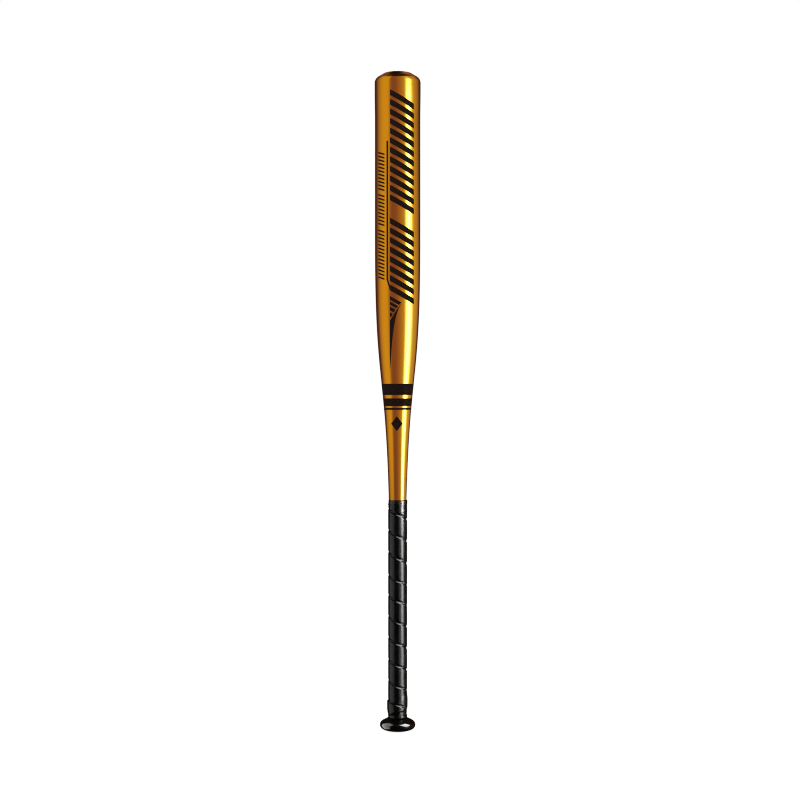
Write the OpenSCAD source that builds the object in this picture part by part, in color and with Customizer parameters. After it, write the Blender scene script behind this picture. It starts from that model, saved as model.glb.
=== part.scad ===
// Baseball bat: one-piece drawn alloy shell with a welded knob, a pressed
// rubber plug in the barrel mouth, a sealed butt, a spiral wound grip and
// printed graphics. Stands on its knob: origin at the centre of the butt face,
// +Z along the bat to the barrel end, the printed face towards -Y. Millimetres.

/* [Shell] */
// height of the barrel rim above the butt face
rim_z = 828.9; // [780:0.1:880]
// outer radius of the straight barrel run
barrel_r = 28.65; // [26:0.05:33]
// outer radius of the slight swell behind the shoulder
swell_r = 29.05; // [26:0.05:33.5]
// outer radius of the bare handle under the grip
handle_r = 10.9; // [9.5:0.05:13]
// where the taper leaves the handle
taper_z0 = 279; // [240:1:330]
// where the taper meets the straight barrel run
taper_z1 = 618.5; // [540:0.5:680]
// reach of the handle end of the taper curve
taper_a = 188; // [80:1:220]
// rise of that end per millimetre of length
taper_slope = 0.0233; // [0:0.0001:0.06]
// reach of the barrel end of the taper curve
taper_b = 191; // [80:1:230]
// where the swell begins
swell_z0 = 768; // [740:1:790]
// where the swell is full
swell_z1 = 809; // [795:1:815]
// wall of the barrel
barrel_wall = 2.4; // [1.8:0.1:4]
// wall of the handle
handle_wall = 2.4; // [1.8:0.1:4]
// lower end of the shell inside the knob
shell_z0 = 2; // [1:0.5:6]

/* [Barrel mouth] */
// radius of the shoulder bend
shoulder_bend = 8.4; // [5:0.1:14]
// slope of the shoulder cone in degrees below level
shoulder_deg = 31.4; // [15:0.1:50]
// where the shoulder cone would meet the barrel side, below the rim
shoulder_drop = 7; // [4:0.1:12]
// outer radius of the flat rim
rim_r = 16.7; // [14:0.1:20]
// radius of the recess for the plug flange
recess_r = 14; // [12:0.1:16]
// depth of that recess
recess_d = 2; // [1:0.1:3]
// radius of the mouth under the recess
mouth_r = 11.5; // [8:0.1:13]
// thickness of the metal lip round the mouth, recess included
lip_t = 4.5; // [3:0.1:6]
// height of the plug's dome above the rim
dome_h = 1.1; // [0.4:0.1:2]
// radius of the plug's barb behind the lip
barb_r = 13.4; // [12:0.1:15]

/* [Damper] */
// lower face of the foam damper
damper_z0 = 782; // [700:1:800]
// upper face of the foam damper
damper_z1 = 806; // [790:1:812]

/* [Knob] */
// largest radius of the knob
knob_r = 22.4; // [20:0.1:26]
// height of the largest radius
knob_mid = 7; // [5:0.1:9]
// height of the knob at the handle
knob_h = 15; // [12:0.1:20]
// radius of the flat the bat rests on
foot_r = 12.1; // [9:0.1:18]
// radius of the knob's upper edge at the handle
knob_top_r = 13.2; // [12:0.1:16]
// height of the weld bead above the knob
bead_h = 1.5; // [0.8:0.1:3]
// radius of the bead at its upper edge
bead_r = 12; // [11.5:0.1:14]
// how far the butt plug is recessed
plug_recess = 0.4; // [0.2:0.1:1.5]
// length of the butt plug
plug_len = 11.6; // [6:0.1:20]

/* [Grip] */
// upper edge of the grip
grip_top = 289.5; // [250:0.5:330]
// thickness of the adhesive backing
back_t = 0.1; // [0.05:0.05:0.5]
// outer radius of the wound tape
grip_r = 11.95; // [11.6:0.05:14]
// rise of one turn
pitch = 27.3; // [18:0.1:36]
// height of a seam on the -X side
seam_z = 252.4; // [230:0.1:290]
// open gap between two turns
seam_gap = 0.25; // [0.1:0.05:1]
// width of the bevel along each edge of the tape
bevel_w = 2.2; // [0.5:0.1:4]
// outer radius of the doubled first turn
start_r = 13.2; // [12:0.05:14]
// upper edge of the doubled first turn
start_z1 = 38.5; // [28:0.5:50]
// lower edge of the end band
band_z0 = 286; // [270:0.5:288]
// upper edge of the end band
band_z1 = 290.8; // [280:0.1:300]
// thickness of the end band
band_t = 0.13; // [0.05:0.01:0.5]

/* [Print] */
// thickness of the printed film
film = 0.08; // [0.05:0.01:0.3]
// lower and upper edges of the wide ring
wide_ring = [423, 437.2];
// lower and upper edges of the middle ring
middle_ring = [409.1, 418.9];
// lower and upper edges of the thin ring
thin_ring = [404.4, 407];
// left and right edges of the slanted bars
bars_x = [-9.5, 20.4];
// upper end of the first group of slanted bars
bars_top = 804; // [760:1:812]
// number of bars in the first group
bars_n = 12; // [4:1:14]
// upper end of the second group
bars2_top = 644; // [600:1:660]
// number of bars in the second group
bars2_n = 8; // [1:1:10]
// step from one bar to the next
bars_step = 11.9; // [9:0.1:14]
// height of one bar
bar_h = 7.5; // [4:0.1:12]
// fall of a bar per millimetre to the right
bar_fall = 0.566; // [0:0.001:1]

/* [Hidden] */
$fn = 180;

// points on a cubic curve from a to d, steered by b and c
function cubic(a, b, c, d, n, i0 = 0) =
    [for (i = [i0:n]) let (t = i / n, s = 1 - t)
        s*s*s*a + 3*s*s*t*b + 3*s*t*t*c + t*t*t*d];

// radius on the swell, eased at both ends
function swell(z) = barrel_r + (swell_r - barrel_r)
    * (1 - cos(180 * min(1, max(0, (z - swell_z0) / (swell_z1 - swell_z0))))) / 2;

// the taper, as [radius, height]
taper = cubic([handle_r, taper_z0],
              [handle_r + taper_a * taper_slope, taper_z0 + taper_a],
              [barrel_r, taper_z1 - taper_b],
              [barrel_r, taper_z1], 44);
swell_pts = [for (i = [0:8]) let (z = swell_z0 + (swell_z1 - swell_z0) * i / 8)
                [swell(z), z]];

// shoulder: bend tangent to the barrel side and to the cone
corner_z = rim_z - shoulder_drop;
bend_run = shoulder_bend * tan((90 - shoulder_deg) / 2);
bend_c = [swell_r - shoulder_bend, corner_z - bend_run];
shoulder = [for (i = [0:8]) let (a = (90 - shoulder_deg) * i / 8)
               bend_c + shoulder_bend * [cos(a), sin(a)]];
// the cone ends where a small curve rolls onto the flat rim
cone_end_r = rim_r + 1.6;
cone_end = [cone_end_r, corner_z + (swell_r - cone_end_r) * tan(shoulder_deg)];
rim_roll = cubic(cone_end, cone_end + [-0.7, 0.7 * tan(shoulder_deg)],
                 [rim_r + 0.7, rim_z], [rim_r, rim_z], 5, 1);
outer = concat([[handle_r, shell_z0]], taper, swell_pts, shoulder,
               [cone_end], rim_roll);

// inner wall, following the outside from the handle to the barrel
function wall(r) = handle_wall + (barrel_wall - handle_wall)
    * (r - handle_r) / (barrel_r - handle_r);
bore_top = [for (p = taper) [p[0] - wall(p[0]), p[1]]];
barrel_bore = barrel_r - barrel_wall;
handle_bore = handle_r - handle_wall;
inner_bend = barrel_bore - bend_c[0];
lip_z = rim_z - lip_t;
inner_arc = [for (i = [0:8]) let (a = (90 - shoulder_deg) * i / 8)
                bend_c + inner_bend * [cos(a), sin(a)]];
arc_end = inner_arc[8];
lip_in = [arc_end[0] - (lip_z - arc_end[1]) / tan(shoulder_deg), lip_z];
inner = concat([[handle_bore, shell_z0]], bore_top, inner_arc, [lip_in]);

function back(v) = [for (i = [len(v) - 1:-1:0]) v[i]];

module bat_tube() color([0.80, 0.52, 0.10])
    rotate_extrude()
        polygon(concat(outer,
            [[recess_r, rim_z], [recess_r, rim_z - recess_d],
             [mouth_r, rim_z - recess_d], [mouth_r, lip_z]],
            back(inner)));

// rubber plug: domed flange in the recess, neck through the mouth, barb behind
dome = cubic([recess_r - 0.5, rim_z - 0.2], [recess_r - 2.5, rim_z + 0.35],
             [6, rim_z + dome_h], [0, rim_z + dome_h], 8);
module end_plug() color([0.06, 0.06, 0.06])
    rotate_extrude()
        polygon(concat([[0, lip_z - 10], [8.5, lip_z - 10], [barb_r - 0.8, lip_z - 3.4],
            [barb_r, lip_z - 2.4], [barb_r, lip_z], [mouth_r, lip_z],
            [mouth_r, rim_z - recess_d], [recess_r, rim_z - recess_d],
            [recess_r, rim_z - 0.7]], dome));

// foam disc squeezed into the barrel bore, with a small vent down the middle
module sound_damper() color([0.82, 0.80, 0.72])
    rotate_extrude()
        polygon([[3, damper_z0], [barrel_bore - 1, damper_z0],
            [barrel_bore, damper_z0 + 1], [barrel_bore, damper_z1 - 1],
            [barrel_bore - 1, damper_z1], [3, damper_z1]]);

knob_low = cubic([foot_r, 0], [foot_r + 7.5, 0.9], [knob_r, 3.2],
                 [knob_r, knob_mid], 14);
knob_up = cubic([knob_r, knob_mid], [knob_r, knob_mid + 3.6],
                [knob_top_r + 6.4, knob_h - 2.8], [knob_top_r, knob_h], 14, 1);
module knob() color([0.03, 0.03, 0.03])
    rotate_extrude()
        polygon(concat([[handle_bore, 0]], knob_low, knob_up,
            [[handle_r, knob_h], [handle_r, shell_z0], [handle_bore, shell_z0]]));

// fillet weld round the handle, dressed and painted with the knob
module knob_weld_bead() color([0.03, 0.03, 0.03])
    rotate_extrude()
        polygon(concat([[handle_r, knob_h]],
            cubic([knob_top_r, knob_h], [knob_top_r - 0.5, knob_h + 0.5],
                  [bead_r + 0.2, knob_h + bead_h - 0.4],
                  [bead_r, knob_h + bead_h], 5),
            [[handle_r, knob_h + bead_h]]));

module knob_plug() color([0.05, 0.05, 0.05])
    rotate_extrude()
        polygon([[0, plug_recess], [handle_bore - 0.6, plug_recess],
            [handle_bore, plug_recess + 0.6],
            [handle_bore, plug_recess + plug_len - 2.5],
            [handle_bore - 1, plug_recess + plug_len],
            [0, plug_recess + plug_len]]);

grip_z0 = knob_h + bead_h;
module grip_backing() color([0.10, 0.10, 0.11])
    rotate_extrude()
        polygon(concat(skin(grip_z0, grip_top),
            [for (p = back(skin(grip_z0, grip_top))) p + [back_t, 0]]));

// one strip wound left-handed: it falls as it turns counter-clockwise seen
// from above. Both ends are trimmed level, at the knob and at the top. The
// inside is flattened between sections, so it only touches the backing.
tape_half = (pitch - seam_gap) / 2;
tape_shoulder = tape_half - bevel_w;
tape_z0 = grip_top - 0.3 + tape_shoulder;
tape_rise = grip_top - grip_z0 - 0.6 + 2 * tape_shoulder;
tape_turn = 360 * tape_rise / pitch;
tape_rows = ceil(tape_turn / 12);
tape_step = tape_turn / tape_rows;
tape_a0 = 180 - 360 * (tape_z0 - seam_z + pitch / 2) / pitch;
function tape_in(z) = (edge_r(z) + back_t) / cos(tape_step / 2);
// section as [offset along the bat, 0 inside to 1 outside]
tape_sec = [[-tape_half, 0], [tape_half, 0], [tape_half, 0.15],
            [tape_half - 0.4 * bevel_w, 0.6], [tape_shoulder, 1],
            [-tape_shoulder, 1], [-tape_half + 0.4 * bevel_w, 0.6],
            [-tape_half, 0.15]];
tape_n = len(tape_sec);
module grip_tape() color([0.05, 0.05, 0.055]) {
    pts = [for (i = [0:tape_rows]) let (a = tape_a0 + i * tape_step,
               z = tape_z0 - tape_rise * i / tape_rows)
           for (q = tape_sec) let (
               h = min(grip_top, max(grip_z0, z + q[0])),
               r = tape_in(h) * (1 - q[1]) + grip_r * q[1])
               [r * cos(a), r * sin(a), h]];
    sides = [for (i = [0:tape_rows - 1], j = [0:tape_n - 1]) let (
                 k = (j + 1) % tape_n, p = i * tape_n, q = p + tape_n)
             each [[p + j, q + k, p + k], [p + j, q + j, q + k]]];
    end = tape_rows * tape_n;
    polyhedron(pts, concat(sides, [[for (j = [0:tape_n - 1]) j]],
               [[for (j = [tape_n - 1:-1:0]) end + j]]), convexity = 10);
}

// the strip's level turn at the knob, laid double over the start of the spiral
start_pts = cubic([start_r, 27.5], [start_r - 0.02, 23.5], [grip_r + 0.55, 21],
                  [grip_r + 0.12, grip_z0 + 0.5], 8);
module grip_start_turn() color([0.05, 0.05, 0.055])
    rotate_extrude()
        polygon(concat([[grip_r, grip_z0 + 0.5], [grip_r, start_z1],
            [start_r - 0.5, start_z1], [start_r - 0.12, start_z1 - 0.4],
            [start_r, start_z1 - 1.2]], start_pts));

// end band: lies over the tape end and steps down onto the shell
module grip_end_band() color([0.05, 0.05, 0.055])
    rotate_extrude()
        polygon([[grip_r, band_z0], [grip_r + band_t, band_z0],
            [grip_r + band_t, grip_top + 0.2], [grip_r - 0.35, band_z1],
            [edge_r(band_z1), band_z1], [edge_r(grip_top), grip_top],
            [grip_r, grip_top]]);

// outside of the shell between two heights, as a film of even thickness
function edge_r(z) = z <= taper_z0 ? handle_r
    : z >= taper_z1 ? swell(z)
    : lookup(z, [for (p = taper) [p[1], p[0]]]);
function skin(a, b) = concat([[edge_r(a), a]],
    [for (p = concat(taper, swell_pts)) if (p[1] > a + 0.01 && p[1] < b - 0.01) p],
    [[edge_r(b), b]]);
module film_ring(a, b)
    rotate_extrude()
        polygon(concat(skin(a, b), [for (p = back(skin(a, b))) p + [film, 0]]));

// a printed shape, drawn as seen from the front and wrapped on the shell
module printed(a, b)
    intersection() {
        film_ring(a, b);
        rotate([90, 0, 0]) linear_extrude(height = 60) children();
    }

module ring_wide() color([0.02, 0.015, 0.012]) film_ring(wide_ring[0], wide_ring[1]);
module ring_middle() color([0.02, 0.015, 0.012]) film_ring(middle_ring[0], middle_ring[1]);
module ring_thin() color([0.02, 0.015, 0.012]) film_ring(thin_ring[0], thin_ring[1]);

// one slanted bar between two sides, its left upper corner at height t
module bar(x0, x1, t)
    polygon([[x0, t - (x0 - bars_x[0]) * bar_fall],
             [x1, t - (x1 - bars_x[0]) * bar_fall],
             [x1, t - (x1 - bars_x[0]) * bar_fall - bar_h],
             [x0, t - (x0 - bars_x[0]) * bar_fall - bar_h]]);
bars_low = bars2_top - (bars2_n - 1) * bars_step - bar_h
    - (bars_x[1] - bars_x[0]) * bar_fall;
module print_bars() color([0.02, 0.015, 0.012])
    printed(bars_low - 2, bars_top + 2) {
        for (i = [0:bars_n - 1])
            bar(bars_x[0], bars_x[1], bars_top - i * bars_step);
        for (i = [0:bars2_n - 1])
            bar(bars_x[0], bars_x[1], bars2_top - i * bars_step);
    }

// plain thin line beside the bars, its foot turned in to the last bar
module print_side_line() color([0.02, 0.015, 0.012])
    printed(550, 744)
        polygon([[-13.9, 740], [-13.9, 567], [-9.6, 553.3], [-9.6, 559.7],
            [-11.9, 567], [-11.9, 740]]);

// three short rows of slanted ticks
module print_tick_row() color([0.02, 0.015, 0.012])
    printed(564, 734)
        for (g = [[727.8, 11], [675.1, 9], [630.6, 14]], i = [0:g[1] - 1])
            translate([-24.2, g[0] - i * 4.5])
                polygon([[0, 0], [7.8, -3.4], [7.8, -5.5], [0, -2.1]]);

// plain tapered spike below the bars, with four short stripes on its shoulder
stripes = [[[-9.6, 546.5], [-9.6, 541.6], [1.9, 535.1], [4.8, 538.3]],
           [[-9.6, 539.7], [-9.6, 535.5], [-1.5, 530.9], [0.8, 533.8]],
           [[-9.6, 533.4], [-9.6, 528.5], [-4.8, 525.8], [-2.5, 529.4]],
           [[-9.6, 526.2], [-9.6, 520.8], [-8.3, 520.1], [-5.9, 524.1]]];
module print_tail() color([0.02, 0.015, 0.012])
    printed(452, 549) {
        for (p = stripes) polygon(p);
        polygon(concat(
            cubic([-9.7, 516], [-5.5, 521], [0, 533], [6, 537.8], 6),
            cubic([6, 537.8], [-4.5, 526], [-6.5, 497], [-9.4, 455.5], 9, 1),
            [[-9.7, 455.5]]));
    }

module print_lozenge() color([0.02, 0.015, 0.012])
    printed(376, 398)
        polygon([[-1, 396.6], [6.4, 387.2], [-1, 377.6], [-8.2, 387.2]]);

bat_tube();
end_plug();
sound_damper();
knob();
knob_weld_bead();
knob_plug();
grip_backing();
grip_tape();
grip_start_turn();
grip_end_band();
ring_wide();
ring_middle();
ring_thin();
print_bars();
print_side_line();
print_tick_row();
print_tail();
print_lozenge();
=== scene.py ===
import math

import bmesh
import bpy
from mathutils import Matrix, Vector, noise


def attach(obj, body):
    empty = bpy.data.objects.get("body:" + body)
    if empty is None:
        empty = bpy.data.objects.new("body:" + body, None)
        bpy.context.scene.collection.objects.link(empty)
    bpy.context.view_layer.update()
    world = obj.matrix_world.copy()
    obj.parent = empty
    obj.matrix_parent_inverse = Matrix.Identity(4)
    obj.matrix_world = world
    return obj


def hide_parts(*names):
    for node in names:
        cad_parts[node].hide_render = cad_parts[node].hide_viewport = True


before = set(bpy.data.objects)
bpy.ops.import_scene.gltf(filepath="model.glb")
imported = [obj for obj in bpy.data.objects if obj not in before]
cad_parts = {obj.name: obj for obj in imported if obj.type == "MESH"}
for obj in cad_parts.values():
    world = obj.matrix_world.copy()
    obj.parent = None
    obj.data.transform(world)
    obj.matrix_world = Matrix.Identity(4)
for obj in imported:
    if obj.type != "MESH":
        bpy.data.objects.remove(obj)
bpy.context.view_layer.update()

MM = 0.001

# ---------------------------------------------------------------- dimensions
# The same figures as the CAD model, in millimetres.
RIM_Z = 828.9
BARREL_R, SWELL_R, HANDLE_R = 28.65, 29.05, 10.9
TAPER_Z0, TAPER_Z1 = 279.0, 618.5
TAPER_A, TAPER_SLOPE, TAPER_B = 188.0, 0.0233, 191.0
SWELL_Z0, SWELL_Z1 = 768.0, 809.0
BARREL_WALL, HANDLE_WALL, SHELL_Z0 = 2.4, 2.4, 2.0
BEND, SHOULDER_DEG, DROP, RIM_R = 8.4, 31.4, 7.0, 16.7
RECESS_R, RECESS_D, MOUTH_R, LIP_T, DOME_H, BARB_R = 14.0, 2.0, 11.5, 4.5, 1.1, 13.4
KNOB_R, KNOB_MID, KNOB_H, FOOT_R, KNOB_TOP_R = 22.4, 7.0, 15.0, 12.1, 13.2
BEAD_H, BEAD_R = 1.5, 12.0
PLUG_RECESS, PLUG_LEN = 0.4, 11.6
GRIP_TOP, GRIP_R, PITCH, SEAM_Z = 289.5, 11.95, 27.3, 252.4
BACK_T, SEAM_GAP = 0.1, 0.25
BAND_Z0, BAND_Z1, BAND_T = 286.0, 290.8, 0.13
FILM = 0.08
WIDE, MIDDLE, THIN = (423.0, 437.2), (409.1, 418.9), (404.4, 407.0)
BARS_X, BARS_STEP, BAR_H, BAR_FALL = (-9.5, 20.4), 11.9, 7.5, 0.566
BAR_GROUPS = ((804.0, 12), (644.0, 8))
TICK_GROUPS = ((727.8, 11), (675.1, 9), (630.6, 14))
SEG = 320


def smooth(t):
    t = min(1.0, max(0.0, t))
    return t * t * (3 - 2 * t)


def cubic(a, b, c, d, n, first=0):
    out = []
    for i in range(first, n + 1):
        t = i / n
        s = 1 - t
        out.append(tuple(s * s * s * a[k] + 3 * s * s * t * b[k] + 3 * s * t * t * c[k]
                         + t * t * t * d[k] for k in (0, 1)))
    return out


TAPER = cubic((HANDLE_R, TAPER_Z0), (HANDLE_R + TAPER_A * TAPER_SLOPE, TAPER_Z0 + TAPER_A),
              (BARREL_R, TAPER_Z1 - TAPER_B), (BARREL_R, TAPER_Z1), 150)


def swell(z):
    t = min(1.0, max(0.0, (z - SWELL_Z0) / (SWELL_Z1 - SWELL_Z0)))
    return BARREL_R + (SWELL_R - BARREL_R) * (1 - math.cos(math.pi * t)) / 2


def outside(z):
    """Outer radius of the shell below the shoulder."""
    if z <= TAPER_Z0:
        return HANDLE_R
    if z >= TAPER_Z1:
        return swell(z)
    lo, hi = 0, len(TAPER) - 1
    while hi - lo > 1:
        m = (lo + hi) // 2
        if TAPER[m][1] <= z:
            lo = m
        else:
            hi = m
    (r0, z0), (r1, z1) = TAPER[lo], TAPER[hi]
    return r0 + (r1 - r0) * (z - z0) / (z1 - z0)


# ---------------------------------------------------------------- mesh tools
def finish_mesh(name, bm, material, nodes, sharp=32):
    bmesh.ops.recalc_face_normals(bm, faces=bm.faces)
    me = bpy.data.meshes.new(name)
    bm.to_mesh(me)
    bm.free()
    me.shade_smooth()
    me.set_sharp_from_angle(angle=math.radians(sharp))
    ob = bpy.data.objects.new(name, me)
    bpy.context.scene.collection.objects.link(ob)
    me.materials.append(material)
    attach(ob, "root")
    if nodes:
        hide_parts(*nodes)
    return ob


def lathe_bm(loop, seg=SEG, wobble=None):
    """Closed loop of (radius, height) in mm, turned round Z. A point on the axis becomes one vertex."""
    bm = bmesh.new()
    rings = []
    for r, z in loop:
        if r < 1e-6:
            rings.append([bm.verts.new((0, 0, z * MM))])
        else:
            ring = []
            for i in range(seg):
                a = 2 * math.pi * i / seg
                q = r + (wobble(a, r, z) if wobble else 0.0)
                ring.append(bm.verts.new((q * math.cos(a) * MM, q * math.sin(a) * MM, z * MM)))
            rings.append(ring)
    for j in range(len(rings)):
        a, b = rings[j], rings[(j + 1) % len(rings)]
        if len(a) == 1 and len(b) == 1:
            continue
        for i in range(seg):
            k = (i + 1) % seg
            if len(a) == 1:
                bm.faces.new((a[0], b[k], b[i]))
            elif len(b) == 1:
                bm.faces.new((a[i], a[k], b[0]))
            else:
                bm.faces.new((a[i], a[k], b[k], b[i]))
    return bm


def run(z0, z1, n, f):
    return [(f(z0 + (z1 - z0) * i / n), z0 + (z1 - z0) * i / n) for i in range(n + 1)]


# ----------------------------------------------------------------- materials
def new_material(name):
    m = bpy.data.materials.new(name)
    m.use_nodes = True
    nt = m.node_tree
    return m, nt, nt.nodes["Principled BSDF"]


def node(nt, kind, **values):
    n = nt.nodes.new(kind)
    for k, v in values.items():
        if k.startswith("in_"):
            n.inputs[k[3:].replace("_", " ")].default_value = v
        else:
            setattr(n, k, v)
    return n


def ramp(nt, source, stops):
    r = nt.nodes.new("ShaderNodeValToRGB")
    el = r.color_ramp.elements
    while len(el) < len(stops):
        el.new(0.5)
    for e, (p, c) in zip(el, stops):
        e.position = p
        e.color = c if len(c) == 4 else (*c, 1)
    nt.links.new(source, r.inputs["Fac"])
    return r


def scaled_noise(nt, coords, scale, detail=2.0, rough=0.5, stretch=None):
    src = coords
    if stretch:
        mp = nt.nodes.new("ShaderNodeMapping")
        mp.inputs["Scale"].default_value = stretch
        nt.links.new(coords, mp.inputs["Vector"])
        src = mp.outputs["Vector"]
    n = nt.nodes.new("ShaderNodeTexNoise")
    n.inputs["Scale"].default_value = scale
    n.inputs["Detail"].default_value = detail
    n.inputs["Roughness"].default_value = rough
    nt.links.new(src, n.inputs["Vector"])
    return n.outputs["Fac"]


def map_range(nt, source, a, b, c, d):
    m = nt.nodes.new("ShaderNodeMapRange")
    m.inputs["From Min"].default_value = a
    m.inputs["From Max"].default_value = b
    m.inputs["To Min"].default_value = c
    m.inputs["To Max"].default_value = d
    nt.links.new(source, m.inputs["Value"])
    return m.outputs["Result"]


def bump(nt, height, strength, distance, chain=None):
    b = nt.nodes.new("ShaderNodeBump")
    b.inputs["Strength"].default_value = strength
    b.inputs["Distance"].default_value = distance
    nt.links.new(height, b.inputs["Height"])
    if chain is not None:
        nt.links.new(chain, b.inputs["Normal"])
    return b.outputs["Normal"]


def gold_paint():
    m, nt, p = new_material("gold_coat")
    co = nt.nodes.new("ShaderNodeTexCoord").outputs["Object"]
    flake = nt.nodes.new("ShaderNodeTexVoronoi")
    flake.inputs["Scale"].default_value = 3200
    nt.links.new(co, flake.inputs["Vector"])
    broad = scaled_noise(nt, co, 22, 3, 0.5)
    # colour: candy gold, each flake a touch lighter or darker
    mix = nt.nodes.new("ShaderNodeMix")
    mix.data_type = "RGBA"
    mix.inputs["A"].default_value = (0.585, 0.246, 0.0056, 1)
    mix.inputs["B"].default_value = (0.615, 0.266, 0.0066, 1)
    sep = nt.nodes.new("ShaderNodeSeparateColor")
    nt.links.new(flake.outputs["Color"], sep.inputs["Color"])
    nt.links.new(sep.outputs["Red"], mix.inputs["Factor"])
    # painted shade: the gold's colour is darkened towards the thin handle, to dim its reflections there
    height = nt.nodes.new("ShaderNodeSeparateXYZ")
    nt.links.new(co, height.inputs[0])
    handle_shade = nt.nodes.new("ShaderNodeMix")
    handle_shade.data_type = "RGBA"
    handle_shade.blend_type = "MULTIPLY"
    # darkening factor of the painted shade on the handle
    handle_shade.inputs["B"].default_value = (0.80, 0.80, 0.80, 1)
    nt.links.new(map_range(nt, height.outputs["Z"], 0.372, 0.285, 0.0, 1.0), handle_shade.inputs["Factor"])
    nt.links.new(mix.outputs["Result"], handle_shade.inputs["A"])
    nt.links.new(handle_shade.outputs["Result"], p.inputs["Base Color"])
    nt.links.new(map_range(nt, broad, 0.3, 0.7, 0.135, 0.175), p.inputs["Roughness"])
    p.inputs["Metallic"].default_value = 1.0
    p.inputs["Coat Weight"].default_value = 1.0
    p.inputs["Coat Roughness"].default_value = 0.06
    p.inputs["Coat IOR"].default_value = 1.45
    # the faint waviness of a sprayed clear coat
    peel = scaled_noise(nt, co, 420, 2, 0.4)
    nt.links.new(bump(nt, peel, 0.06, 0.0002), p.inputs["Normal"])
    return m


def ink():
    m, nt, p = new_material("print_ink")
    co = nt.nodes.new("ShaderNodeTexCoord").outputs["Object"]
    n = scaled_noise(nt, co, 900, 3, 0.6)
    r = ramp(nt, n, [(0.3, (0.030, 0.0165, 0.0130)), (0.7, (0.036, 0.0205, 0.0165))])
    nt.links.new(r.outputs["Color"], p.inputs["Base Color"])
    nt.links.new(map_range(nt, n, 0.3, 0.7, 0.50, 0.58), p.inputs["Roughness"])
    p.inputs["Specular IOR Level"].default_value = 0.02
    nt.links.new(bump(nt, n, 0.05, 0.0001), p.inputs["Normal"])
    return m


def grip_leather():
    m, nt, p = new_material("grip_synthetic_leather")
    co = nt.nodes.new("ShaderNodeTexCoord").outputs["Object"]
    grain = nt.nodes.new("ShaderNodeTexVoronoi")
    grain.feature = "DISTANCE_TO_EDGE"
    grain.inputs["Scale"].default_value = 1100
    nt.links.new(co, grain.inputs["Vector"])
    fine = scaled_noise(nt, co, 1500, 4, 0.6)
    broad = scaled_noise(nt, co, 60, 3, 0.55)
    r = ramp(nt, broad, [(0.3, (0.0028, 0.0028, 0.0030)), (0.7, (0.0045, 0.0045, 0.0048))])
    nt.links.new(r.outputs["Color"], p.inputs["Base Color"])
    nt.links.new(map_range(nt, broad, 0.3, 0.7, 0.20, 0.26), p.inputs["Roughness"])
    p.inputs["Specular IOR Level"].default_value = 0.02
    cells = map_range(nt, grain.outputs["Distance"], 0.0, 0.12, 0.0, 1.0)
    first = bump(nt, cells, 0.08, 0.0001)
    nt.links.new(bump(nt, fine, 0.08, 0.0001, first), p.inputs["Normal"])
    return m


def band_vinyl():
    m, nt, p = new_material("band_vinyl")
    co = nt.nodes.new("ShaderNodeTexCoord").outputs["Object"]
    n = scaled_noise(nt, co, 260, 3, 0.5, (1, 1, 4))
    r = ramp(nt, n, [(0.3, (0.005, 0.005, 0.0055)), (0.7, (0.009, 0.009, 0.0095))])
    nt.links.new(r.outputs["Color"], p.inputs["Base Color"])
    nt.links.new(map_range(nt, n, 0.3, 0.7, 0.24, 0.32), p.inputs["Roughness"])
    p.inputs["Specular IOR Level"].default_value = 0.025
    nt.links.new(bump(nt, n, 0.15, 0.0002), p.inputs["Normal"])
    return m


def knob_gloss():
    m, nt, p = new_material("knob_black_gloss")
    co = nt.nodes.new("ShaderNodeTexCoord").outputs["Object"]
    n = scaled_noise(nt, co, 260, 3, 0.55)
    r = ramp(nt, n, [(0.3, (0.0016, 0.0016, 0.0017)), (0.7, (0.0024, 0.0024, 0.0026))])
    nt.links.new(r.outputs["Color"], p.inputs["Base Color"])
    nt.links.new(map_range(nt, n, 0.3, 0.7, 0.12, 0.17), p.inputs["Roughness"])
    p.inputs["Specular IOR Level"].default_value = 0.04
    nt.links.new(bump(nt, n, 0.10, 0.0002), p.inputs["Normal"])
    return m


def rubber(name, tone, rough):
    m, nt, p = new_material(name)
    co = nt.nodes.new("ShaderNodeTexCoord").outputs["Object"]
    n = scaled_noise(nt, co, 700, 4, 0.6)
    r = ramp(nt, n, [(0.3, (tone * 0.8, tone * 0.8, tone * 0.82)), (0.7, (tone * 1.2, tone * 1.2, tone * 1.22))])
    nt.links.new(r.outputs["Color"], p.inputs["Base Color"])
    nt.links.new(map_range(nt, n, 0.3, 0.7, rough - 0.05, rough + 0.05), p.inputs["Roughness"])
    nt.links.new(bump(nt, n, 0.2, 0.0002), p.inputs["Normal"])
    return m


def foam():
    m, nt, p = new_material("damper_foam")
    co = nt.nodes.new("ShaderNodeTexCoord").outputs["Object"]
    v = nt.nodes.new("ShaderNodeTexVoronoi")
    v.inputs["Scale"].default_value = 900
    nt.links.new(co, v.inputs["Vector"])
    r = ramp(nt, v.outputs["Distance"], [(0.0, (0.45, 0.43, 0.36)), (0.6, (0.66, 0.64, 0.55))])
    nt.links.new(r.outputs["Color"], p.inputs["Base Color"])
    p.inputs["Roughness"].default_value = 0.9
    nt.links.new(bump(nt, v.outputs["Distance"], 0.5, 0.0005), p.inputs["Normal"])
    return m


def cloth_backing():
    m, nt, p = new_material("adhesive_backing")
    co = nt.nodes.new("ShaderNodeTexCoord").outputs["Object"]
    n = scaled_noise(nt, co, 1200, 2, 0.5, (1, 1, 3))
    r = ramp(nt, n, [(0.3, (0.006, 0.006, 0.007)), (0.7, (0.012, 0.012, 0.013))])
    nt.links.new(r.outputs["Color"], p.inputs["Base Color"])
    p.inputs["Roughness"].default_value = 0.85
    nt.links.new(bump(nt, n, 0.3, 0.0002), p.inputs["Normal"])
    return m


GOLD, INK, LEATHER, VINYL = gold_paint(), ink(), grip_leather(), band_vinyl()
KNOB, FOAM, BACKING = knob_gloss(), foam(), cloth_backing()
PLUG_RUBBER = rubber("plug_rubber", 0.012, 0.5)

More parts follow.
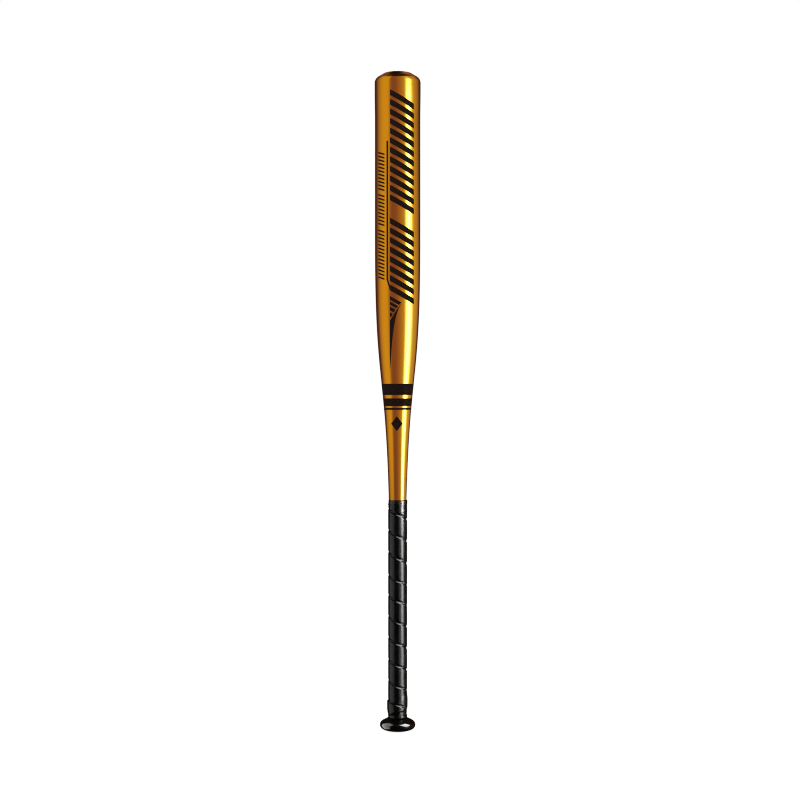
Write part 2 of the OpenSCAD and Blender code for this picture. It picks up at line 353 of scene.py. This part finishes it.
# ------------------------------------------------------------------ the shell
corner_z = RIM_Z - DROP
half_turn = math.radians(90 - SHOULDER_DEG)
bend_run = BEND * math.tan(half_turn / 2)
BEND_C = (SWELL_R - BEND, corner_z - bend_run)


def arc(radius, n):
    return [(BEND_C[0] + radius * math.cos(half_turn * i / n),
             BEND_C[1] + radius * math.sin(half_turn * i / n)) for i in range(n + 1)]


tan_s = math.tan(math.radians(SHOULDER_DEG))
cone_end_r = RIM_R + 1.6
cone_end = (cone_end_r, corner_z + (SWELL_R - cone_end_r) * tan_s)
rim_roll = cubic(cone_end, (cone_end[0] - 0.7, cone_end[1] + 0.7 * tan_s),
                 (RIM_R + 0.7, RIM_Z), (RIM_R, RIM_Z), 10, 1)
bend = arc(BEND, 22)
cone = [(bend[-1][0] + (cone_end[0] - bend[-1][0]) * i / 7,
         bend[-1][1] + (cone_end[1] - bend[-1][1]) * i / 7) for i in range(1, 8)]
outer = ([(HANDLE_R, SHELL_Z0)] + run(12, TAPER_Z0 - 4, 40, lambda z: HANDLE_R)
         + TAPER + run(TAPER_Z1 + 8, SWELL_Z0 - 2, 18, lambda z: BARREL_R)
         + run(SWELL_Z0, SWELL_Z1, 26, swell) + bend + cone + rim_roll)
mouth = [(RIM_R - 1.2, RIM_Z), (RECESS_R + 0.25, RIM_Z), (RECESS_R, RIM_Z - 0.25),
         (RECESS_R, RIM_Z - RECESS_D), (MOUTH_R, RIM_Z - RECESS_D), (MOUTH_R, RIM_Z - LIP_T)]
bore_r = BARREL_R - BARREL_WALL
inner_arc = arc(bore_r - BEND_C[0], 10)
lip_in = (inner_arc[-1][0] - (RIM_Z - LIP_T - inner_arc[-1][1]) / tan_s, RIM_Z - LIP_T)


def wall(r):
    return HANDLE_WALL + (BARREL_WALL - HANDLE_WALL) * (r - HANDLE_R) / (BARREL_R - HANDLE_R)


bore = [(r - wall(r), z) for r, z in TAPER[::5]]
inside = ([(HANDLE_R - HANDLE_WALL, SHELL_Z0)] + bore + inner_arc + [lip_in])[::-1]
shell = finish_mesh("bat_shell", lathe_bm(outer + mouth + inside), GOLD, ["bat_tube"], 35)

# ------------------------------------------------------------- barrel end plug
LIP_Z = RIM_Z - LIP_T
dome = cubic((RECESS_R - 0.5, RIM_Z - 0.2), (RECESS_R - 2.5, RIM_Z + 0.35),
             (6, RIM_Z + DOME_H), (0.0, RIM_Z + DOME_H), 30)
# a shallow moulded ring in the dome
dome = [(r, z - 0.35 * math.exp(-((r - 8.2) / 0.45) ** 2)) for r, z in dome[:-1]] + [(0.0, RIM_Z + DOME_H)]
plug_loop = ([(0.0, LIP_Z - 10), (8.2, LIP_Z - 10), (8.7, LIP_Z - 9.6), (BARB_R - 0.9, LIP_Z - 3.5),
              (BARB_R - 0.1, LIP_Z - 2.6), (BARB_R, LIP_Z - 2.2), (BARB_R, LIP_Z - 0.02),
              (MOUTH_R - 0.02, LIP_Z - 0.02), (MOUTH_R - 0.02, RIM_Z - RECESS_D + 0.02),
              (RECESS_R - 0.02, RIM_Z - RECESS_D + 0.02), (RECESS_R - 0.02, RIM_Z - 0.75),
              (RECESS_R - 0.18, RIM_Z - 0.38)] + dome)
finish_mesh("barrel_end_plug", lathe_bm(plug_loop, 192), PLUG_RUBBER, ["end_plug"], 40)

# --------------------------------------------------------------------- knob
knob_low = cubic((FOOT_R, 0), (FOOT_R + 7.5, 0.9), (KNOB_R, 3.2), (KNOB_R, KNOB_MID), 44)
knob_up = cubic((KNOB_R, KNOB_MID), (KNOB_R, KNOB_MID + 3.6), (KNOB_TOP_R + 6.4, KNOB_H - 2.8),
                (KNOB_TOP_R, KNOB_H), 44, 1)
hole = HANDLE_R - HANDLE_WALL
knob_loop = ([(hole, 0.35), (hole + 0.35, 0)] + [(hole + 1.2, 0)] + knob_low + knob_up
             + [(HANDLE_R, KNOB_H), (HANDLE_R, SHELL_Z0), (hole, SHELL_Z0)])
knob = finish_mesh("knob_body", lathe_bm(knob_loop), KNOB, ["knob"], 40)

bead_curve = cubic((KNOB_TOP_R, KNOB_H), (KNOB_TOP_R - 0.5, KNOB_H + 0.5),
                   (BEAD_R + 0.2, KNOB_H + BEAD_H - 0.4), (BEAD_R, KNOB_H + BEAD_H), 12)
bead = finish_mesh(
    "knob_weld", lathe_bm([(HANDLE_R, KNOB_H)] + bead_curve + [(HANDLE_R, KNOB_H + BEAD_H)], SEG,
                          lambda a, r, z: -0.06 * (1 + math.cos(34 * a)) / 2
                          * smooth((r - 11.4) / 0.8) * smooth((z - KNOB_H) / 0.6)),
    KNOB, ["knob_weld_bead"], 50)

butt_loop = [(0.0, PLUG_RECESS + 0.3), (2.6, PLUG_RECESS + 0.3), (3.0, PLUG_RECESS), (6.6, PLUG_RECESS),
             (6.8, PLUG_RECESS + 0.25), (7.2, PLUG_RECESS + 0.25), (7.4, PLUG_RECESS),
             (hole - 0.45, PLUG_RECESS), (hole - 0.15, PLUG_RECESS + 0.15), (hole - 0.02, PLUG_RECESS + 0.5),
             (hole - 0.02, PLUG_RECESS + PLUG_LEN - 2.5), (hole - 1, PLUG_RECESS + PLUG_LEN),
             (0.0, PLUG_RECESS + PLUG_LEN)]
finish_mesh("butt_plug", lathe_bm(butt_loop, 160), PLUG_RUBBER, ["knob_plug"], 30)

# --------------------------------------------------------------------- grip
GRIP_Z0 = KNOB_H + BEAD_H
HALF = (PITCH - SEAM_GAP) / 2


# how far the seams stray from an even spiral, as they do when wound by hand: (height, drift)
DRIFT = [(16.5, 0.0), (18.3, 0.6), (20.4, 5.4), (22.5, 6.8), (26.5, 6.6), (34.0, 4.1), (61.3, 1.6), (88.6, 0.9),
         (115.9, 1.4), (143.2, 0.6), (170.5, 0.0), (197.8, -2.1), (225.1, -0.4), (252.4, 0.0), (289.5, 0.0)]


def hand_wound(z):
    for (z0, d0), (z1, d1) in zip(DRIFT, DRIFT[1:]):
        if z <= z1:
            return z + d0 + (d1 - d0) * smooth((z - z0) / (z1 - z0))
    return z


def grip_base(a, z):
    """Outer radius of the wrap: a fuller roll over the folded start of the tape, lower and
    sharper on the left than on the right, and a thin end under the band on the left."""
    c = math.cos(a)
    up = smooth((43.6 + 4.4 * c - z) / (5.7 + 3.1 * c))
    down = smooth((z - (21.5 + 3.5 * c)) / (4.5 + 0.5 * c))
    top = smooth((z - 284.2) / 3.6)
    return (GRIP_R + (0.98 - 0.35 * c) * up * down
            + top * (0.18 * (1 + c) / 2 - 0.55 * ((1 - c) / 2) ** 2))


def wrinkle(a, z):
    """Small creases that run round the bat where the tape is pulled tight over an edge."""
    low = smooth((33 - z) / 9)
    top = smooth((z - 272) / 8)
    k = 1.6
    p = Vector((k * math.cos(a), k * math.sin(a), z * 0.62))
    q = Vector((4 * math.cos(a) + 9, 4 * math.sin(a), z * 0.9))
    crease = noise.noise(p) * 0.6 + noise.noise(q) * 0.4
    calm = noise.noise(Vector((2.2 * math.cos(a) - 5, 2.2 * math.sin(a), z * 0.11)))
    fine = noise.noise(Vector((9 * math.cos(a), 9 * math.sin(a) + 3, z * 0.75)))
    return crease * (0.22 * low + 0.16 * top) + calm * 0.05 + fine * 0.014


def edge_drop(up, low, depth):
    """How far the surface falls at the strip's edges: a bevel along the upper edge
    and a slower roll along the lower one."""
    return depth * max(1 - smooth((up - 0.12) / 1.9), 1 - smooth((low - 0.15) / 2.5))


# heights where the seam was pressed flat, on the right-hand side and on the left
PRESSED = (30.5, 56.0, 160.5, 187.0)
PRESSED_LEFT = (44.5, 41.0)


def wound_strip():
    bm = bmesh.new()
    # positions across the strip, close together near both edges
    near = [0, 0.12, 0.3, 0.5, 0.7, 0.9, 1.1, 1.35, 1.6, 1.85, 2.1, 2.4, 2.7, 3.2, 4.0, 5.0]
    middle = [6.2 + 1.6 * i for i in range(10)]
    across = near + [x for x in middle if x < 2 * HALF - 6] + [2 * HALF - x for x in reversed(near)]
    across = [x / (2 * HALF) for x in across]
    z_hi, z_lo = GRIP_TOP, 18.3
    start = z_hi - 1.6 + HALF  # centre height of the strip's upper end
    end = z_lo + 1.6 - HALF
    turns = (start - end) / PITCH
    rows = int(turns * 144)
    rings = []
    for i in range(rows + 1):
        zc = start - (start - end) * i / rows
        a = math.radians(180 - 360 * (zc - SEAM_Z + PITCH / 2) / PITCH)
        left = smooth((-math.cos(a) - 0.2) / 0.6)
        lo, hi = max(z_lo, zc - HALF), min(z_hi, zc + HALF)
        ring = []
        for s in across:
            z0 = lo + (hi - lo) * s
            z = hand_wound(z0)
            inner = outside(z) + BACK_T + 0.02
            base = grip_base(a, z)
            base += 0.07 * (4 * s * (1 - s))
            flat = max(math.exp(-((z - h) / 9) ** 2) for h in PRESSED) * smooth((math.cos(a) - 0.55) / 0.35)
            flat = max(flat, max(math.exp(-((z - h) / 6) ** 2) for h in PRESSED_LEFT)
                       * smooth((-math.cos(a) - 0.45) / 0.4))
            depth = min(0.9 * (1 - 0.72 * flat), base - inner - 0.05)
            edge = smooth((hi - z0) / 1.2) * smooth((z0 - lo) / 1.2)
            r = base - edge_drop(hi - z0, z0 - lo, depth) + wrinkle(a, z) * edge
            r -= 0.55 * left * math.exp(-((z - 283.2) / 0.75) ** 2)
            r = max(r, inner + 0.05)
            ring.append(bm.verts.new((r * math.cos(a) * MM, r * math.sin(a) * MM, z * MM)))
        for s in (1.0, 0.5, 0.0):
            z = hand_wound(lo + (hi - lo) * s)
            r = outside(z) + BACK_T + 0.02
            ring.append(bm.verts.new((r * math.cos(a) * MM, r * math.sin(a) * MM, z * MM)))
        rings.append(ring)
    n = len(rings[0])
    for a, b in zip(rings, rings[1:]):
        for j in range(n):
            k = (j + 1) % n
            bm.faces.new((a[j], a[k], b[k], b[j]))
    bm.faces.new(rings[0])
    bm.faces.new(rings[-1])
    return bm


tape = finish_mesh("grip_wrap", wound_strip(), LEATHER, ["grip_tape"], 60)

# the level first turn shows as a second edge just above the knob
start_loop = ([(HANDLE_R + 0.12, GRIP_Z0 + 0.02), (11.55, GRIP_Z0 + 0.02), (11.86, GRIP_Z0 + 0.16),
               (11.98, GRIP_Z0 + 0.45)] + run(GRIP_Z0 + 0.8, GRIP_Z0 + 2.6, 7, lambda z: 12.02)
              + [(11.9, GRIP_Z0 + 3.0), (11.4, GRIP_Z0 + 3.3), (HANDLE_R + 0.12, GRIP_Z0 + 3.3)])
start_turn = finish_mesh("grip_first_turn", lathe_bm(start_loop, 288, lambda a, r, z: (
    grip_base(a, z) - GRIP_R + 0.12 * noise.noise(Vector((2.2 * math.cos(a), 2.2 * math.sin(a), z * 0.8)))
    if r > 11.3 else 0.0)),
    LEATHER, ["grip_start_turn"], 60)

# the band that holds the upper end: over the tape, then down onto the shell
r_top = outside(BAND_Z1)
band_loop = ([(GRIP_R - 0.03, BAND_Z0), (GRIP_R + 0.07, BAND_Z0 + 0.02), (GRIP_R + BAND_T, BAND_Z0 + 0.16)]
             + run(BAND_Z0 + 0.5, GRIP_TOP - 0.1, 10, lambda z: GRIP_R + BAND_T)
             + cubic((GRIP_R + BAND_T, GRIP_TOP + 0.1), (GRIP_R + BAND_T - 0.02, GRIP_TOP + 0.5),
                     (GRIP_R - 0.2, BAND_Z1 - 0.1), (r_top + 0.18, BAND_Z1), 10)
             + [(r_top + 0.01, BAND_Z1), (outside(GRIP_TOP) + 0.01, GRIP_TOP), (GRIP_R - 0.03, GRIP_TOP)])
band = finish_mesh("grip_band", lathe_bm(band_loop, 288, lambda a, r, z: (
    (grip_base(a, z) - GRIP_R + 0.05 * noise.noise(Vector((3 * math.cos(a), 3 * math.sin(a), z * 0.7))))
    * smooth((r - GRIP_R + 0.35) / 0.3))), VINYL, ["grip_end_band"], 60)

# -------------------------------------------------------------------- print
def ring_film(name, a, b, cad):
    n = max(4, int((b - a) / 0.8))
    up = run(a, b, n, outside)
    out = [(r + FILM, z) for r, z in run(a + 0.04, b - 0.04, n, outside)]
    return finish_mesh(name, lathe_bm(up[::-1] + out), INK, [cad], 40)


ring_film("ring_print_wide", *WIDE, "ring_wide")
ring_film("ring_print_middle", *MIDDLE, "ring_middle")
ring_film("ring_print_thin", *THIN, "ring_thin")


def rounded(poly, radius, n=5):
    """The polygon with its corners rounded, shorter edges getting less."""
    out = []
    m = len(poly)
    for i in range(m):
        p, a, b = Vector(poly[i]), Vector(poly[i - 1]), Vector(poly[(i + 1) % m])
        u, v = a - p, b - p
        r = min(radius, u.length * 0.45, v.length * 0.45)
        s, e = p + u.normalized() * r, p + v.normalized() * r
        for k in range(n + 1):
            t = k / n
            out.append(tuple(s * (1 - t) ** 2 + p * 2 * t * (1 - t) + e * t * t))
    return out


def film(name, polys, cad, step=1.0, tall=5.0):
    """Flat shapes in (x, height), wrapped on the front of the shell as closed films."""
    bm = bmesh.new()
    for poly in polys:
        part = bmesh.new()
        part.faces.new([part.verts.new((x, 0, z)) for x, z in poly])
        for axis, width in ((0, step), (2, tall)):
            vals = [v.co[axis] for v in part.verts]
            c = math.floor(min(vals) / width) * width
            while c < max(vals):
                if c > min(vals) + 1e-6:
                    co = [0, 0, 0]
                    no = [0, 0, 0]
                    co[axis] = c
                    no[axis] = 1
                    bmesh.ops.bisect_plane(part, geom=part.verts[:] + part.edges[:] + part.faces[:],
                                           plane_co=co, plane_no=no, dist=1e-4)
                c += width
        bmesh.ops.remove_doubles(part, verts=part.verts, dist=1e-3)
        bmesh.ops.recalc_face_normals(part, faces=part.faces)
        rim = [e for e in part.edges if len(e.link_faces) == 1]
        pair = {}
        for v in part.verts:
            x, z = v.co.x, v.co.z
            both = []
            for lift in (0.0, FILM):
                r = outside(z) + lift
                both.append(bm.verts.new((x * MM, -math.sqrt(max(0.0, r * r - x * x)) * MM, z * MM)))
            pair[v] = both
        for f in part.faces:
            bm.faces.new([pair[v][1] for v in f.verts])
            bm.faces.new([pair[v][0] for v in reversed(f.verts)])
        for e in rim:
            a, b = e.verts
            bm.faces.new((pair[a][0], pair[b][0], pair[b][1], pair[a][1]))
        part.free()
    return finish_mesh(name, bm, INK, [cad], 40)


def bar(x0, x1, top, h=BAR_H):
    f = lambda x: top - (x - BARS_X[0]) * BAR_FALL
    return [(x0, f(x0)), (x0, f(x0) - h), (x1, f(x1) - h), (x1, f(x1))]


film("print_slanted_bars", [rounded(bar(*BARS_X, top - i * BARS_STEP), 1.2) for top, n in BAR_GROUPS for i in range(n)],
     "print_bars")
film("print_line", [[(-13.9, 740), (-13.9, 567), (-9.6, 553.3), (-9.6, 559.7), (-11.9, 567), (-11.9, 740)]],
     "print_side_line")
film("print_ticks", [rounded([(-24.2 + x, top - i * 4.5 + z) for x, z in ((0, 0), (0, -2.1), (7.8, -5.5), (7.8, -3.4))],
                             0.3, 3) for top, n in TICK_GROUPS for i in range(n)], "print_tick_row", 0.8)
STRIPES = [[(-9.6, 546.5), (-9.6, 541.6), (1.9, 535.1), (4.8, 538.3)],
           [(-9.6, 539.7), (-9.6, 535.5), (-1.5, 530.9), (0.8, 533.8)],
           [(-9.6, 533.4), (-9.6, 528.5), (-4.8, 525.8), (-2.5, 529.4)],
           [(-9.6, 526.2), (-9.6, 520.8), (-8.3, 520.1), (-5.9, 524.1)]]
spike = (cubic((-9.7, 516), (-5.5, 521), (0, 533), (6, 537.8), 20)
         + cubic((6, 537.8), (-4.5, 526), (-6.5, 497), (-9.4, 455.5), 40, 1) + [(-9.7, 455.5)])
film("print_spike", [rounded(q, 0.4, 3) for q in STRIPES] + [spike], "print_tail")
film("print_diamond", [rounded([(-1, 396.6), (-8.2, 387.2), (-1, 377.6), (6.4, 387.2)], 0.6, 3)], "print_lozenge")

# ------------------------------------------------ CAD nodes that stay as they are
for name, mat in (("sound_damper", FOAM), ("grip_backing", BACKING)):
    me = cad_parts[name].data
    me.materials.clear()
    me.materials.append(mat)

# ------------------------------------------------------------- studio and camera
scene = bpy.context.scene
scene.view_settings.view_transform = "Standard"
scene.view_settings.look = "None"
scene.view_settings.exposure = 0.0
scene.view_settings.gamma = 1.0
scene.cycles.filter_width = 1.1

floor_bm = bmesh.new()
bmesh.ops.create_grid(floor_bm, x_segments=24, y_segments=24, size=12.0)
floor_me = bpy.data.meshes.new("studio_floor")
floor_bm.to_mesh(floor_me)
floor_bm.free()
floor = bpy.data.objects.new("studio_floor", floor_me)
scene.collection.objects.link(floor)
fm, fnt, fp = new_material("studio_floor_pale")
fco = fnt.nodes.new("ShaderNodeTexCoord").outputs["Object"]
fn = scaled_noise(fnt, fco, 3, 2, 0.5)
fr = ramp(fnt, fn, [(0.3, (0.80, 0.80, 0.80)), (0.7, (0.82, 0.82, 0.82))])
fnt.links.new(fr.outputs["Color"], fp.inputs["Base Color"])
fp.inputs["Roughness"].default_value = 0.9
fp.inputs["Specular IOR Level"].default_value = 0.0
fp.inputs["Emission Color"].default_value = (1, 1, 1, 1)
fp.inputs["Emission Strength"].default_value = 0.87
# seen from underneath the floor is clear, so the butt of the bat shows
clear = fnt.nodes.new("ShaderNodeBsdfTransparent")
side = fnt.nodes.new("ShaderNodeNewGeometry")
one_sided = fnt.nodes.new("ShaderNodeMixShader")
fnt.links.new(side.outputs["Backfacing"], one_sided.inputs["Fac"])
fnt.links.new(fp.outputs["BSDF"], one_sided.inputs[1])
fnt.links.new(clear.outputs["BSDF"], one_sided.inputs[2])
fnt.links.new(one_sided.outputs["Shader"], fnt.nodes["Material Output"].inputs["Surface"])
floor_me.materials.append(fm)
floor.visible_glossy = False
floor.visible_diffuse = False
floor.visible_shadow = False

# The studio is one world: white behind everything, and for reflections a ring of
# tall soft panels round the bat, given here as (degrees from the front, red, green, blue).
PANELS = [
    (-180, 0.075, 0.021, 0.004), (-150, 0.075, 0.021, 0.004), (-138, 0.09, 0.030, 0.008), (-127, 0.17, 0.085, 0.06),
    (-116, 0.37, 0.25, 0.17), (-101, 0.64, 0.51, 0.17), (-86, 0.86, 0.69, 0.16), (-72, 0.97, 0.82, 0.15),
    (-49, 0.97, 0.82, 0.15), (-43, 0.82, 0.68, 0.20), (-38, 0.50, 0.37, 0.28), (-31, 0.34, 0.20, 0.26),
    (-18, 0.33, 0.170, 0.26), (-6, 0.38, 0.21, 0.26), (5, 0.48, 0.31, 0.26), (18, 0.63, 0.43, 0.26),
    (31, 0.74, 0.66, 0.14), (36, 0.84, 1.05, 0.75), (40, 1.15, 1.80, 1.80), (44.5, 2.30, 2.90, 3.10),
    (50, 3.40, 3.40, 3.40), (61, 3.40, 3.40, 3.40), (67, 2.50, 2.70, 2.60), (73, 1.30, 1.70, 1.10),
    (80, 0.88, 0.92, 0.32), (95, 0.70, 0.56, 0.16), (110, 0.56, 0.38, 0.13), (124, 0.26, 0.16, 0.055), (138, 0.09, 0.032, 0.008),
    (150, 0.075, 0.021, 0.004),
]
world = bpy.data.worlds.new("studio_world")
scene.world = world
world.use_nodes = True
wnt = world.node_tree
for n in list(wnt.nodes):
    wnt.nodes.remove(n)
out = wnt.nodes.new("ShaderNodeOutputWorld")
wco = wnt.nodes.new("ShaderNodeTexCoord").outputs["Generated"]
xyz = wnt.nodes.new("ShaderNodeSeparateXYZ")
wnt.links.new(wco, xyz.inputs[0])
Z = xyz.outputs["Z"]


def sin_d(deg):
    return math.sin(math.radians(deg))


def calc(op, *args):
    n = wnt.nodes.new("ShaderNodeMath")
    n.operation = op
    for i, v in enumerate(args):
        if isinstance(v, (int, float)):
            n.inputs[i].default_value = v
        else:
            wnt.links.new(v, n.inputs[i])
    return n.outputs[0]


def vec(op, *args):
    n = wnt.nodes.new("ShaderNodeVectorMath")
    n.operation = op
    k = 0
    for v in args:
        if op == "SCALE" and k == 1:
            sock = n.inputs["Scale"]
        else:
            sock = n.inputs[k]
        if isinstance(v, (int, float, tuple)):
            sock.default_value = v
        else:
            wnt.links.new(v, sock)
        k += 1
    return n.outputs[0]


def window(z, a, b, kind="SMOOTHSTEP"):
    m = wnt.nodes.new("ShaderNodeMapRange")
    m.interpolation_type = kind
    m.inputs["From Min"].default_value = sin_d(a)
    m.inputs["From Max"].default_value = sin_d(b)
    wnt.links.new(z, m.inputs["Value"])
    return m.outputs["Result"]


az = calc("ARCTAN2", xyz.outputs["X"], calc("MULTIPLY", xyz.outputs["Y"], -1.0))
az_deg = calc("MULTIPLY", az, 180 / math.pi)


def between(value, a, b):
    m = wnt.nodes.new("ShaderNodeMapRange")
    m.inputs["From Min"].default_value = a
    m.inputs["From Max"].default_value = b
    wnt.links.new(value, m.inputs["Value"])
    return m.outputs["Result"]


# the panels lean: lower down the inner edge of the left one and the outer edge of the
# right one stand a little further round to the sides
lean = window(Z, 12, 2, "LINEAR")
on_left = calc("LESS_THAN", az, 0.0)
left_lean = calc("MULTIPLY", between(az_deg, -125, -50), 0.17)
right_lean = calc("MULTIPLY", calc("MULTIPLY", az_deg, 0.0018), between(az_deg, 150, 115))
amount = calc("ADD", calc("MULTIPLY", on_left, left_lean),
              calc("MULTIPLY", calc("SUBTRACT", 1.0, on_left), right_lean))
az2 = calc("MULTIPLY", az, calc("SUBTRACT", 1.0, calc("MULTIPLY", lean, amount)))
turn = calc("MULTIPLY_ADD", az2, 1 / (2 * math.pi), 0.5)
panels = wnt.nodes.new("ShaderNodeValToRGB")
el = panels.color_ramp.elements
while len(el) < len(PANELS):
    el.new(0.5)
for e, (deg, r, g, b) in zip(el, PANELS):
    e.position = deg / 360 + 0.5
    e.color = (r / 4, g / 4, b / 4, 1)
wnt.links.new(turn, panels.inputs["Fac"])
ring_light = vec("SCALE", panels.outputs["Color"], 4.0)
above = window(Z, 62, 42)
below = window(Z, -34, -18)
# the bright panel thins out above the height of the bat
steep = calc("MULTIPLY", calc("MULTIPLY", between(az_deg, 34, 46), between(az_deg, 90, 74)), window(Z, 12.5, 26))
steep = calc("SUBTRACT", 1.0, calc("MULTIPLY", steep, 0.6))
walls = vec("SCALE", ring_light, calc("MULTIPLY", calc("MULTIPLY", above, below), steep))
floor_bounce = vec("SCALE", vec("MINIMUM", ring_light, (0.8, 0.8, 0.8)),
                   calc("MULTIPLY", calc("SUBTRACT", 1.0, below), 0.55))
# the lamp inside the right-hand panel
off = calc("MULTIPLY_ADD", az2, 57.29578 / 8.5, -55.5 / 8.5)
core = calc("EXPONENT", calc("MULTIPLY", calc("MULTIPLY", off, off), -1.0))
core = calc("MULTIPLY", core, calc("MULTIPLY", window(Z, 13.2, 8.8), window(Z, -30, -14)))
lamp = vec("SCALE", (1.0, 1.0, 0.95), calc("MULTIPLY", core, 12.5))
# dim warm light high up behind the bat and at its sides, for the shoulder
side_az = calc("ABSOLUTE", az_deg)
behind = between(side_az, 140, 160)
on_right = calc("SUBTRACT", 1.0, on_left)
upper = calc("ADD", calc("MULTIPLY", on_left, window(Z, 43.5, 40.5)),
             calc("MULTIPLY", on_right, window(Z, 48.5, 45)))
glow = calc("MULTIPLY", behind, calc("MULTIPLY", window(Z, 25, 34), upper))
round_back = calc("ADD", calc("MULTIPLY", on_left, between(side_az, 162, 150)),
                  calc("MULTIPLY", on_right, between(side_az, 176, 168)))
flank = calc("MULTIPLY", calc("MULTIPLY", round_back, between(side_az, 72, 92)),
             calc("MULTIPLY", window(Z, 36, 42), window(Z, 74, 66)))
high = vec("SCALE", (0.20, 0.095, 0.036), calc("ADD", glow, calc("MULTIPLY", flank, 0.9)))
high = vec("ADD", high, vec("SCALE", (0.035, 0.014, 0.004), window(Z, 66, 74)))
walls = vec("SCALE", walls, calc("SUBTRACT", 1.0, calc("MULTIPLY", behind, window(Z, 36, 46))))
total = vec("ADD", vec("ADD", vec("ADD", walls, floor_bounce), high), vec("ADD", lamp, (0.012, 0.007, 0.006)))
bg_gloss = wnt.nodes.new("ShaderNodeBackground")
wnt.links.new(total, bg_gloss.inputs["Color"])
bg_gloss.inputs["Strength"].default_value = 1.0
bg_fill = wnt.nodes.new("ShaderNodeBackground")
bg_fill.inputs["Color"].default_value = (1, 1, 1, 1)
bg_fill.inputs["Strength"].default_value = 0.2
bg_white = wnt.nodes.new("ShaderNodeBackground")
bg_white.inputs["Color"].default_value = (1, 1, 1, 1)
bg_white.inputs["Strength"].default_value = 1.0
path = wnt.nodes.new("ShaderNodeLightPath")
m1 = wnt.nodes.new("ShaderNodeMixShader")
wnt.links.new(path.outputs["Is Glossy Ray"], m1.inputs["Fac"])
wnt.links.new(bg_fill.outputs[0], m1.inputs[1])
wnt.links.new(bg_gloss.outputs[0], m1.inputs[2])
m2 = wnt.nodes.new("ShaderNodeMixShader")
wnt.links.new(path.outputs["Is Camera Ray"], m2.inputs["Fac"])
wnt.links.new(m1.outputs[0], m2.inputs[1])
wnt.links.new(bg_white.outputs[0], m2.inputs[2])
wnt.links.new(m2.outputs[0], out.inputs["Surface"])


def area(name, deg, elevation, distance, aim, wide, high_, radiance, color=(1, 1, 1), receivers=None,
         gloss=True, diffuse=False):
    data = bpy.data.lights.new(name, "AREA")
    data.shape = "RECTANGLE"
    data.size, data.size_y = wide, high_
    data.energy = radiance * math.pi * wide * high_
    data.color = color
    ob = bpy.data.objects.new(name, data)
    scene.collection.objects.link(ob)
    a, e = math.radians(deg), math.radians(elevation)
    away = Vector((math.sin(a) * math.cos(e), -math.cos(a) * math.cos(e), math.sin(e)))
    ob.location = Vector(aim) + away * distance
    ob.rotation_mode = "QUATERNION"
    ob.rotation_quaternion = (-away).to_track_quat("-Z", "Y")
    ob.visible_camera = False
    ob.visible_glossy = gloss
    ob.visible_diffuse = diffuse
    if receivers:
        group = bpy.data.collections.new(name + "_lit")
        for r in receivers:
            group.objects.link(r)
        ob.light_linking.receiver_collection = group
    return ob


wrap = [tape, start_turn, band]
# panels for the black grip: a broad one on the left, a tall narrow one on the right,
# and one higher up that picks out the edges of the tape
area("grip_fill", -74, -2, 2.0, (0, 0, 0.15), 2.3, 3.0, 13.5, (0.98, 0.98, 1.0), wrap)
area("grip_streak", 59, -5, 2.0, (0, 0, 0.15), 1.05, 3.0, 118.0, receivers=wrap)
area("grip_streak_high", 60, 17, 2.0, (0, 0, 0.15), 0.9, 1.7, 150.0, receivers=wrap)
area("grip_wing", 29, -5, 2.0, (0, 0, 0.15), 0.5, 3.0, 26.0, receivers=wrap)
area("grip_top_spot", 61, -3.5, 0.12, (0, 0, 0.280), 0.050, 0.010, 700.0, receivers=wrap)
area("grip_edge", 60, 48, 2.0, (0, 0, 0.15), 1.8, 1.2, 135.0, receivers=[tape])
# panels for the gloss black knob
area("knob_left", -86, 12, 2.0, (0, 0, 0.01), 2.6, 5.8, 32.0, receivers=[knob])
area("knob_right", 66, 41, 2.0, (0, 0, 0.01), 1.6, 2.4, 205.0, receivers=[knob])
# a slim strip standing behind the bat, for its back
area("rear_strip", 180, 0, 0.30, (0, 0, 0.45), 0.042, 1.0, 4.0, receivers=[shell])
# broad soft key, for diffuse surfaces and a faint contact shadow only
area("soft_key", -40, 55, 2.6, (0, 0, 0.3), 2.2, 2.2, 1.7, gloss=False, diffuse=True)

cam_data = bpy.data.cameras.new("camera")
cam_data.lens = 67.5
cam_data.sensor_width = 36.0
cam_data.clip_start, cam_data.clip_end = 0.05, 60
cam = bpy.data.objects.new("camera", cam_data)
scene.collection.objects.link(cam)
cam.location = (0.0030, -1.8956, 0.4168)
cam.rotation_euler = (math.radians(90), 0, 0)
scene.camera = cam
